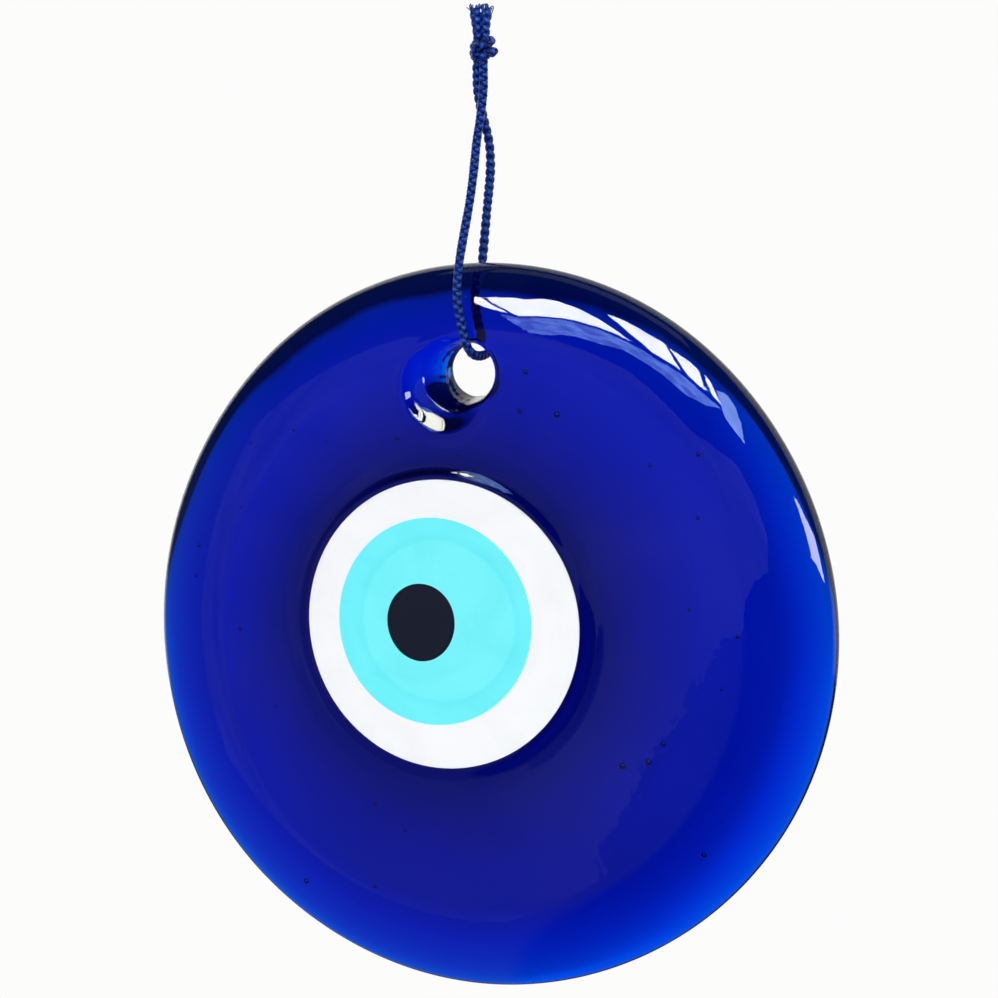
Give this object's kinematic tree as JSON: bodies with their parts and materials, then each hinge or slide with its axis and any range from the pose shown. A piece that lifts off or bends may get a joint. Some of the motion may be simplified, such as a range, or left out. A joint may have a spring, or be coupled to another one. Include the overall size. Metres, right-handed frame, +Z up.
{
  "type": "evil eye wall ornament",
  "caption": "Round cast blue glass disc with a pressed eye of white, light blue and black glass, hung from a hole near its top on a knotted loop of braided cord.",
  "frame": {"origin": "the hang point: between the two strands of the cord just under its knot, in the middle plane of the disc, where a nail or hook holds the loop", "axes": "+Z up along the hanging cord, the decorated front face looks along -Y, the flat back looks along +Y, +X to the right of someone facing the front"},
  "size_m": [0.152, 0.0149, 0.2057],
  "materials": {
    "cobalt_glass": "fire-polished, glossy",
    "white_glass": "opaque, glossy",
    "light_blue_glass": "opaque, glossy",
    "black_glass": "opaque, glossy",
    "blue_cord": "braided polyester, satin"
  },
  "bodies": {
    "hanging_cord": {"cord_loop": "blue_cord", "cord_knot": "blue_cord", "cord_tail_a": "blue_cord", "cord_tail_b": "blue_cord"},
    "glass_disc": {"glass_body": "cobalt_glass", "eye_white_drop": "white_glass", "eye_iris_drop": "light_blue_glass", "eye_pupil_drop": "black_glass"}
  },
  "joints": [
    {"name": "disc_swing", "type": "hinge", "parent": "hanging_cord", "child": "glass_disc", "pos_m": [0.00025, 0, -0.05907], "axis": [0, 1, 0], "range_deg": [-35, 35]}
  ]
}
